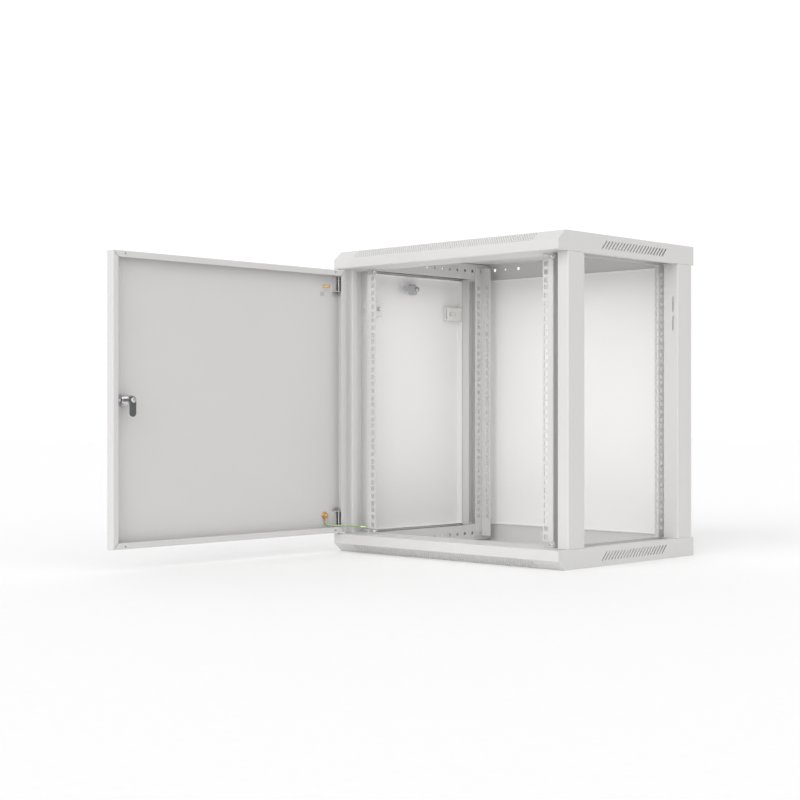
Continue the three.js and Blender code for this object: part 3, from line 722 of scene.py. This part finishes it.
def make_fan_cover(node):
    x, y, (bottom, top) = span(node)
    centre = centre_of(node, "z")
    plate = solid(node, prism, rounded_rectangle(x, y, 6), "z", bottom, top)
    bevel(plate, 0.2, apply=True)
    holes = bmesh.new()
    for row in range(-8, 9):
        for column in range(-9, 10):
            across = (column + 0.5 * (row % 2)) * FAN_MESH["pitch"]
            deep = row * FAN_MESH["pitch"] * math.sqrt(3) / 2
            if math.hypot(across, deep) < FAN_MESH["reach"]:
                drill(holes, (centre[0] + across, centre[1] + deep), FAN_MESH["radius"], "z", bottom, 12)
    cut(plate, to_object("holes", holes))
    return dress(plate, "cabinet", "powder_coat", node)


def make_cable_cover(node):
    x, y, z = span(node)
    plate = solid(node, prism, rounded_rectangle(x, y, 4), "z", *z)
    bevel(plate, 0.25, apply=True)
    face = z[1] if z[0] > HEIGHT / 2 else z[0]
    depth = KNOCKOUT["depth"]
    grooves = bmesh.new()
    for i in (-1, 0, 1):
        groove(grooves, KNOCKOUT["inner"], KNOCKOUT["outer"], face - depth, face + depth,
               (i * KNOCKOUT["pitch"], sum(y) / 2), "z", 48)
    cut(plate, to_object("grooves", grooves))
    return dress(plate, "cabinet", "powder_coat", node)


# ---------------- door, as it stands open

DOOR_LIP = 12.0
LIP_HOLE = {"y": 28.0, "z": 5.0, "radius": 2.0}
SEAM = {"start": 2.5, "end": 14.0, "half": 0.35}
LABEL = {"y": (-269.5, -258.5), "z": (538.5, 547.5), "corner": 0.8}


def inset(ends, amount):
    return ends[0] + amount, ends[1] - amount


def make_door():
    x, y, z = span("door_panel")
    door = solid("door_panel", brick, x, y, z)
    bevel(door, 2.2, segments=4, apply=True)
    hollow = solid("hollow", brick, *(inset(ends, PANEL_SHEET) for ends in (x, y, z)))
    bevel(hollow, 1.0, segments=3, apply=True)
    skin, face = x
    mouth = solid("mouth", brick, (face - THROUGH, face + THROUGH), inset(y, DOOR_LIP), inset(z, DOOR_LIP))
    holes = bmesh.new()
    for at_y in inset(y, LIP_HOLE["y"]):
        for at_z in inset(z, LIP_HOLE["z"]):
            drill(holes, (at_y, at_z), LIP_HOLE["radius"], "x", face, 16)
    for level in z:
        drill(holes, HINGE_AT, HINGE_BORE, "z", level)
    for at_y, inward_y in zip(y, (1, -1)):
        for at_z, inward_z in zip(z, (1, -1)):
            corner_seam(holes, face, (at_y, inward_y), (at_z, inward_z))
    drill(holes, centre_of("door_lock_body", "x"), LOCK_BORE, "x", skin, 40)
    cut(door, hollow, mouth, to_object("holes", holes))
    return dress(bevel(door, 0.22, angle=60), "door", "powder_coat", "door_panel")


def corner_seam(mesh, face, y, z):
    """The thin slanted gap between two lips where they meet at a corner of the door."""
    (y0, dy), (z0, dz) = y, z
    ends = ((SEAM["start"], -1), (SEAM["end"], -1), (SEAM["end"], 1), (SEAM["start"], 1))
    outline = [(y0 + dy * (along + sign * SEAM["half"]), z0 + dz * (along - sign * SEAM["half"]))
               for along, sign in ends]
    prism(mesh, outline, "x", face - 2, face + 2)


def make_label():
    """A small blank label on the inside of the door."""
    (outside, _), _, _ = span("door_panel")
    skin = outside + PANEL_SHEET
    outline = rounded_rectangle(LABEL["y"], LABEL["z"], LABEL["corner"])
    label = solid("door_label", prism, outline, "x", skin + 0.02, skin + 0.25)
    dress(label, "door", "label_grey")


# ---------------- hinges

def bent_rod(start, corner, end, radius, steps=6):
    """Points along a rod with one rounded bend."""
    start, corner, end = Vector(start), Vector(corner), Vector(end)
    back, on = (start - corner).normalized(), (end - corner).normalized()
    centre = corner + (back + on) * radius
    points = [start]
    for i in range(steps + 1):
        angle = math.pi / 2 * i / steps
        points.append(centre - on * radius * math.cos(angle) - back * radius * math.sin(angle))
    return points + [end]


PIN_RADIUS = 2.25
PIN_BEND = 4.0
COLLAR = {"z": 573.0, "radius": 3.7, "height": 1.5, "edge": 0.3}
BRACKET_WINDOW = 9.5
COIL = {"wire": 0.45, "radius": 3.1, "turns": 8, "steps": 20}


def make_hinge(level):
    node, handle = f"{level}_hinge_pin", f"{level}_pin_handle"
    up = 1 if level == "upper" else -1
    _, (tail, _), foot = span(handle)
    _, _, shaft = span(node)
    x, y = HINGE_AT
    foot_z, tip_z = (foot[0] + PIN_RADIUS, shaft[1]) if up > 0 else (foot[1] - PIN_RADIUS, shaft[0])
    points = bent_rod((x, tail + 1.2, foot_z), (x, y, foot_z), (x, y, tip_z - up * 1.0), PIN_BEND)
    pin = solid(node, tube, points, PIN_RADIUS, 20)
    bevel(pin, 0.7, segments=3, angle=60, apply=True)
    low = COLLAR["z"] if up > 0 else HEIGHT - COLLAR["z"]
    high, edge = low + up * COLLAR["height"], up * COLLAR["edge"]
    narrow, wide = COLLAR["radius"] - 0.2, COLLAR["radius"]
    profile = [(0, low), (narrow, low), (wide, low + edge), (wide, high - edge), (narrow, high), (0, high)]
    join(pin, solid("collar", lathe, profile, HINGE_AT, "z", 24))
    dress(pin, f"{level}_pin", "hinge_steel", node, handle)
    make_hinge_bracket(level)
    make_painted_pin_shade(level)
    make_spring(level)


def make_hinge_bracket(level):
    node = f"{level}_hinge_bracket"
    x, y, z = span(node)
    line = [(x[1], z[0]), (x[0], z[0]), (x[0], z[1]), (x[1], z[1])]
    bracket = solid(node, prism, folded(line, SHEET, 2.2), "y", *y)
    window = solid("window", brick, (x[0] - 2, x[0] + 3), (y[0] + BRACKET_WINDOW, y[1] + 2), inset(z, SHEET))
    bore = solid("bore", prism, ring_outline(HINGE_AT, HINGE_BORE, 24), "z", z[0] - 2, z[1] + 2)
    cut(bracket, window, bore)
    dress(bevel(bracket, 0.25), "door", "powder_coat", node)


def make_painted_pin_shade(level):
    """A dark strip of painted shade in the door's corner, behind and beside the pin: it stands for the shadow
    in the gaps round the pin.
    """
    _, _, z = span(f"{level}_hinge_bracket")
    x, y = HINGE_AT
    inside = inset(z, SHEET + 0.2)
    shade_strip = solid(f"{level}_painted_pin_shade", brick, (x - 4.1, x - 3.75), (y - 2.6, y + 4.1), inside)
    join(shade_strip, solid("wall", brick, (x - 4.1, x + 3.6), (y + 3.75, y + 4.15), inside))
    # Dark cam steel on this strip is painted shade, for the shadowed gaps beside the pin.
    dress(shade_strip, "door", "cam_steel")


def make_spring(level):
    node = f"{level}_hinge_spring"
    _, _, z = span(node)
    low, high = inset(z, COIL["wire"])
    steps = COIL["turns"] * COIL["steps"]
    points = []
    for i in range(steps + 1):
        angle = 2 * math.pi * i / COIL["steps"]
        points.append((HINGE_AT[0] + COIL["radius"] * math.cos(angle),
                       HINGE_AT[1] + COIL["radius"] * math.sin(angle), low + (high - low) * i / steps))
    spring = solid(node, tube, points, COIL["wire"], 8)
    dress(spring, "door", "hinge_steel", node)
    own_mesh(spring)


# ---------------- locks

LOCK_FLANGE = 12.5
BARREL = 9.0
BARREL_FLATS = 8.2
LOCK_NUT = 13.4
CAM_HALF = 7.0
CAM_HOLE = 3.7
BOSS_HALF = 3.5


def square_bar(name, centre, half, x):
    """A square bar along X."""
    return solid(name, brick, x, (centre[0] - half, centre[0] + half), (centre[1] - half, centre[1] + half))


def make_lock(prefix, body, turning_body, cam_direction, cam_slot):
    """A cam lock whose axis lies along X: its flange outside at low X, its cam inside at high X."""
    centre = centre_of(f"{prefix}_lock_body", "x")
    (outer, inner), _, _ = span(f"{prefix}_lock_body")
    make_lock_body(prefix, body, centre, outer, inner)
    make_lock_nut(prefix, body, centre)
    make_lock_plug(prefix, turning_body, centre, inner)
    make_lock_cam(prefix, turning_body, centre, cam_direction, cam_slot)
    make_lock_screw(prefix, turning_body, centre)


def make_lock_body(prefix, body, centre, outer, inner):
    skin = outer + 2.8
    profile = [(6.3, outer + 0.4), (6.8, outer), (LOCK_FLANGE - 1.6, outer), (LOCK_FLANGE - 0.5, outer + 0.5),
               (LOCK_FLANGE, outer + 1.6), (LOCK_FLANGE, outer + 2.5), (BARREL, outer + 2.5)]
    along = skin + 1.5
    while along + 1.0 < inner - 1.5:
        profile += [(BARREL - 0.45, along), (BARREL, along + 0.5)]
        along += 1.0
    profile += [(BARREL - 0.5, inner - 1.2), (BARREL - 0.8, inner), (6.8, inner), (6.3, inner - 0.4)]
    lock = solid(f"{prefix}_lock_body", lathe, profile, centre, "x", 48)
    flats = bmesh.new()
    y, z = centre
    for sign in (-1, 1):
        side = sorted((y + sign * BARREL_FLATS, y + sign * 12))
        brick(flats, (skin + 0.2, inner + 2), side, (z - 12, z + 12))
    cut(lock, to_object("flats", flats))
    dress(lock, body, "lock_chrome", f"{prefix}_lock_body")


def nut_bore(radius, mouth, lead, low, high):
    """The profile of the bore of a nut from low to high, which opens out towards its mouths."""
    return [(0, low - 1), (mouth, low - 1), (radius, low + lead),
            (radius, high - lead), (mouth, high + 1), (0, high + 1)]


def make_lock_nut(prefix, body, centre):
    node = f"{prefix}_lock_nut"
    (low, high), _, _ = span(node)
    nut = solid(node, prism, ring_outline(centre, LOCK_NUT, 6), "x", low, high)
    dome = [(0, low), (12.0, low), (13.6, low + 1.0), (13.6, high - 1.0), (12.0, high), (0, high)]
    combine(nut, "INTERSECT", solid("dome", lathe, dome, centre, "x", 48))
    cut(nut, solid("bore", lathe, nut_bore(9.15, 9.8, 0.6, low, high), centre, "x", 48))
    dress(bevel(nut, 0.2), body, "lock_chrome", node)


def make_lock_plug(prefix, body, centre, inner):
    node = f"{prefix}_lock_plug"
    (face, tip), _, _ = span(node)
    end = inner - 0.1
    profile = [(0, face), (5.4, face), (5.9, face + 0.5), (5.9, end), (0, end)]
    plug = solid(node, lathe, profile, centre, "x", 40)
    boss = square_bar("boss", centre, BOSS_HALF, (inner - 2, tip))
    join(plug, bevel(boss, 0.3, apply=True))
    y, z = centre
    depth = (face - 2, face + 5)
    cut(plug, solid("keyway", brick, depth, (y - 0.6, y + 0.6), (z - 3.4, z + 2.6)),
        solid("wards", brick, depth, (y - 1.3, y + 0.5), (z - 1.2, z - 0.2)),
        solid("thread", prism, ring_outline(centre, 2.4, 20), "x", inner - 8, inner + 9))
    dress(bevel(plug, 0.12, angle=60), body, "lock_chrome", node)


def make_lock_cam(prefix, body, centre, direction, slot):
    node = f"{prefix}_lock_cam"
    x, y, z = span(node)
    reach = max(y[1] - y[0], z[1] - z[0]) - 2 * CAM_HALF
    tip = (centre[0] + direction[0] * reach, centre[1] + direction[1] * reach)
    cam = solid(node, prism, stadium(centre, tip, CAM_HALF, 20), "x", *x)
    cut(cam, square_bar("hole", centre, CAM_HOLE, (x[0] - 2, x[1] + 2)))
    dress(bevel(cam, 0.35), body, slot, node)


def make_lock_screw(prefix, body, centre):
    node = f"{prefix}_lock_screw"
    (tip, top), _, _ = span(node)
    seat = top - 2.6
    profile = [(0, tip), (1.7, tip), (2.0, tip + 0.5), (2.0, seat), (5.4, seat), (5.4, seat + 1.3),
               (4.9, seat + 2.0), (3.4, top - 0.15), (0, top)]
    screw = solid(node, lathe, profile, centre, "x", 40)
    y, z = centre
    for along_y, along_z in ((0.65, 3.0), (3.0, 0.65)):
        cut(screw, solid("cross", brick, (top - 1.3, top + 1), (y - along_y, y + along_y),
                         (z - along_z, z + along_z)))
    dress(screw, body, "lock_chrome", node)


# ---------------- latches

TONGUE_X = (-288.75, -287.25)
TONGUE_CHANNEL = (-289.2, -286.8)
TONGUE_TRAVEL = 14.0
KNOB = {"inset": 1.5, "width": 6.0, "z": (515.0, 521.0)}


def make_latch(name):
    """A tongue with a knob, in a housing whose window leaves the knob room to slide."""
    node = f"{name}_latch_housing"
    x, y, z = span(node)
    housing = solid(node, brick, x, y, z)
    bevel(housing, 1.2, segments=4, apply=True)
    (_, knob_top), tongue_y, tongue_z = span(f"{name}_latch")
    channel = solid("channel", brick, TONGUE_CHANNEL, inset(y, -2), inset(tongue_z, -0.5))
    end, out = (tongue_y[0], 1) if name == "rear" else (tongue_y[1], -1)
    near, far = end + out * KNOB["inset"], end + out * (KNOB["inset"] + KNOB["width"])
    window_y = sorted((end, near + out * (KNOB["width"] + TONGUE_TRAVEL)))
    window = solid("window", brick, (-LATCH_X, x[1] + 2), window_y, inset(KNOB["z"], -1))
    bevel(window, 0.6, apply=True)
    cut(housing, channel, window)
    dress(bevel(housing, 0.2, angle=60), "side_panel", "white_plastic", node)
    tongue = solid(f"{name}_latch", brick, TONGUE_X, tongue_y, tongue_z)
    knob = solid("knob", brick, (-LATCH_X, knob_top), sorted((near, far)), KNOB["z"])
    join(tongue, bevel(knob, 0.8, segments=3, apply=True))
    dress(bevel(tongue, 0.3), f"{name}_latch_slide", "white_plastic", f"{name}_latch")


# ---------------- earth studs and lead

STUD_RADIUS = 3.0
STUD_THREAD = 0.5
NUT_RADIUS = 5.8


def stud_profile(base, tip):
    profile = [(0, base), (STUD_RADIUS, base)]
    sign = 1 if tip > base else -1
    along = base + sign
    while abs(tip - along) > 1.6:
        profile += [(STUD_RADIUS, along), (STUD_RADIUS - STUD_THREAD, along + sign * 0.5)]
        along += sign
    return profile + [(STUD_RADIUS, tip - sign * 1.2), (STUD_RADIUS - 0.9, tip), (0, tip)]


def make_stud(node, body, axis):
    base, tip = span(node)["xyz".index(axis)]
    stud = solid(node, lathe, stud_profile(base, tip), centre_of(node, axis), axis)
    return dress(stud, body, "brass", node)


def make_nut(node, body, axis):
    low, high = span(node)["xyz".index(axis)]
    centre = centre_of(node, axis)
    nut = solid(node, prism, ring_outline(centre, NUT_RADIUS, 6), axis, low, high)
    dome = [(0, low), (6.0, low), (6.0, high - 0.6), (5.1, high), (0, high)]
    combine(nut, "INTERSECT", solid("dome", lathe, dome, centre, axis, 40))
    flange = [(0, low), (6.9, low), (6.9, low + 0.6), (6.5, low + 1.2), (0, low + 1.2)]
    join(nut, solid("flange", lathe, flange, centre, axis, 40))
    cut(nut, solid("bore", lathe, nut_bore(3.25, 3.9, 0.5, low, high), centre, axis))
    return dress(bevel(nut, 0.15), body, "brass", node)


def make_terminal(node, body, stud_node, axis, away):
    """A crimped ring terminal. away is the direction from its ring to its barrel."""
    index, across = "xyz".index(axis), "xyz".index(away[1])
    sideways = 3 - index - across
    sign = 1 if away[0] == "+" else -1
    stud = [sum(ends) / 2 for ends in span(stud_node)]
    low, _ = span(node)[index]
    profile = [(3.3, low), (7.0, low), (7.2, low + 0.2), (7.2, low + 0.6), (7.0, low + 0.8), (3.3, low + 0.8)]
    ring = solid(node, lathe, profile, centre_of(stud_node, axis), axis, 40)
    neck = [None, None, None]
    neck[index] = (low, low + 0.8)
    neck[across] = sorted((stud[across] + sign * 4.5, stud[across] + sign * 9))
    neck[sideways] = (stud[sideways] - 2.1, stud[sideways] + 2.1)
    start, end = stud[across] + sign * 7.4, stud[across] + sign * 12.5
    profile = [(0, start), (1.9, start), (2.2, start + sign * 0.4), (2.3, start + sign * 2.0),
               (2.05, start + sign * 2.6), (2.05, start + sign * 3.8), (2.3, start + sign * 4.4),
               (2.3, end - sign * 0.3), (2.1, end), (0, end)]
    seat = (stud[sideways], low + 2.3) if sideways < index else (low + 2.3, stud[sideways])
    barrel = solid("barrel", lathe, profile, seat, away[1])
    join(ring, solid("neck", brick, *neck), barrel)
    return dress(bevel(ring, 0.12), body, "copper", node)


LEAD_ROUTE = [
    (-293.2, -258, 65.2), (-293.1, -257.8, 62.5), (-291.8, -255, 58.6), (-287, -247.5, 56.6),
    (-280, -238.5, 56.2), (-274.2, -227, 56), (-271.2, -214, 55.4), (-268.6, -199, 54.2),
    (-264.8, -181, 51.8), (-262, -166, 48.4), (-260.8, -152, 43.8), (-261.2, -144.5, 41),
    (-262, -139.6, 37.2), (-263.6, -134.6, 29), (-266.6, -126, 19), (-270, -113, 10.8),
    (-273, -97, 6), (-275, -80, 4.4), (-276, -62, 4.5), (-276, -52, 4.7), (-276, -47.6, 4.7),
]
LEAD_RADIUS = 1.5
LEAD_SIDES = 16
LEAD_STEPS = 8


def smooth_route(points, steps):
    """A Catmull-Rom line through the points."""
    points = [Vector(p) for p in points]
    ends = [points[0] * 2 - points[1]] + points + [points[-1] * 2 - points[-2]]
    route = []
    for i in range(1, len(ends) - 2):
        p0, p1, p2, p3 = ends[i - 1:i + 3]
        for step in range(steps):
            t = step / steps
            route.append(0.5 * ((2 * p1) + (p2 - p0) * t + (2 * p0 - 5 * p1 + 4 * p2 - p3) * t * t
                                + (3 * p1 - p0 - 3 * p2 + p3) * t ** 3))
    return route + [points[-1]]


def make_lead():
    """The green lead with its two yellow stripes."""
    route = smooth_route(LEAD_ROUTE, LEAD_STEPS)
    lead = solid("earth_lead", tube, route, LEAD_RADIUS, LEAD_SIDES)
    lead.data.materials.append(MATERIALS["lead_sheath"])
    lead.data.materials.append(MATERIALS["lead_stripe"])
    for polygon in lead.data.polygons:
        polygon.material_index = 1 if polygon.index % (LEAD_SIDES // 2) < 3 else 0
    lead.data.shade_smooth()
    lead.data.set_sharp_from_angle(angle=math.radians(50))
    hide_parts("earth_lead")
    length = sum((b - a).length for a, b in zip(route, route[1:])) * MM
    metres = [tuple(p * MM) for p in route]
    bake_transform(lead)
    return lead, metres, length


# ---------------- stage

def make_camera():
    camera = bpy.data.cameras.new("camera")
    camera.sensor_width = 36
    camera.lens = 69.35
    camera.shift_y = 0.0141
    camera.clip_end = 50
    holder = add_object("camera", camera)
    holder.location = (2.0643, -2.4838, 0.2966)
    holder.rotation_euler = (math.radians(90), 0, math.radians(43.86))
    bpy.context.scene.camera = holder


def soft_sun(name, direction, strength, angle):
    """A wide, distant light that shines from the given direction."""
    light = bpy.data.lights.new(name, "SUN")
    light.energy = strength
    light.angle = math.radians(angle)
    holder = add_object(name, light)
    holder.rotation_euler = (-Vector(direction)).to_track_quat("-Z", "Y").to_euler()


def inside_light(name, location, turn, size, power, spread=180):
    """A soft light inside the cabinet, which the camera does not see. It faces down before its turn."""
    light = bpy.data.lights.new(name, "AREA")
    light.shape = "RECTANGLE"
    light.size, light.size_y = size
    light.energy = power
    light.spread = math.radians(spread)
    holder = add_object(name, light)
    holder.location = location
    holder.rotation_euler = [math.radians(angle) for angle in turn]
    holder.visible_camera = False
    holder.visible_glossy = False


def light_the_inside():
    """Lights the bay from above and below, and the narrow gaps beside the rails."""
    bay = (0.46, 0.30)
    inside_light("inside_down", (0.0, 0.0, 0.585), (0, 0, 0), bay, 0.34)
    inside_light("inside_up", (0.0, 0.0, 0.05), (180, 0, 0), bay, 0.28, 100)
    strip, middle = (0.014, 0.54), HEIGHT / 2 * MM
    front = span("front_left_rail")[1][0] * MM
    rear = span("rear_left_rail")[1][0] * MM
    inside_light("front_left_gap", (-0.257, front, middle), (90, 0, 45), strip, 0.045)
    inside_light("rear_left_gap", (-0.257, rear + 0.008, middle), (90, 0, 45), strip, 0.034)
    inside_light("rear_right_gap", (0.292, rear + 0.012, middle), (90, 0, 90), strip, 0.036)


def make_world():
    """A studio that is white to look at, and lights the cabinet less from the front than from behind."""
    world = bpy.data.worlds.new("world")
    world.use_nodes = True
    nodes, links = world.node_tree.nodes, world.node_tree.links
    background = nodes["Background"]
    background.inputs["Color"].default_value = (1, 1, 1, 1)
    coordinates = nodes.new("ShaderNodeTexCoord")
    along = nodes.new("ShaderNodeVectorMath")
    along.operation = "DOT_PRODUCT"
    along.inputs[1].default_value = (-0.693, 0.721, 0.0)
    links.new(coordinates.outputs["Generated"], along.inputs[0])
    white = 1.06
    strength = remap(nodes, links, along.outputs["Value"], 0.62, white, 0.2, 0.7)
    path = nodes.new("ShaderNodeLightPath")
    seen = nodes.new("ShaderNodeMix")
    links.new(path.outputs["Is Camera Ray"], seen.inputs["Factor"])
    links.new(strength, seen.inputs["A"])
    seen.inputs["B"].default_value = white
    links.new(seen.outputs["Result"], background.inputs["Strength"])
    bpy.context.scene.world = world


def make_stage():
    material, nodes, links, shader = new_material("floor")
    grain = noise(nodes, links, 60.0, 2.0)
    tint(nodes, links, shader, grain.outputs["Fac"], (0.985, 0.985, 0.985), 0.01)
    shader.inputs["Roughness"].default_value = 0.9
    mesh = bmesh.new()
    bmesh.ops.create_grid(mesh, x_segments=1, y_segments=1, size=12)
    data = bpy.data.meshes.new("floor")
    mesh.to_mesh(data)
    mesh.free()
    data.materials.append(material)
    add_object("floor", data)
    make_world()
    bpy.context.scene.view_settings.view_transform = "Standard"
    soft_sun("key", (0.1, -1.0, 0.45), 1.5, 60)
    soft_sun("fill", (1.0, -0.3, 0.6), 0.62, 70)
    light_the_inside()


# ---------------- build

make_camera()
lead, lead_path, lead_length = make_lead()
make_stage()

for tray_node in ("top_frame", "bottom_frame"):
    make_tray(tray_node)
for side_name, side_sign in SIDES:
    make_post(side_name, side_sign, True)
    make_post(side_name, side_sign, False)
    make_front_rail(side_name, side_sign)
    make_rear_rail(side_name, side_sign)
    make_bracket(f"upper_{side_name}_bracket", side_sign)
    make_bracket(f"lower_{side_name}_bracket", side_sign)
    make_fan_cover(f"fan_cover_{side_name}")
make_back_panel()
make_side_panel()
make_bolts()
make_cable_cover("top_cable_cover")
make_cable_cover("bottom_cable_cover")
make_door()
make_label()
make_hinge("upper")
make_hinge("lower")
make_lock("door", "door", "door_lock", (0, -1), "cam_steel")
make_lock("side", "side_panel", "side_lock", (-1, 0), "zinc")
make_latch("front")
make_latch("rear")
make_stud("upper_earth_stud", "door", "x")
make_stud("lower_earth_stud", "door", "x")
make_stud("frame_earth_stud", "cabinet", "z")
make_nut("lower_earth_nut", "door", "x")
make_nut("frame_earth_nut", "cabinet", "z")
door_terminal = make_terminal("door_ring_terminal", "door", "lower_earth_stud", "x", "-z")
frame_terminal = make_terminal("frame_ring_terminal", "cabinet", "frame_earth_stud", "z", "-y")
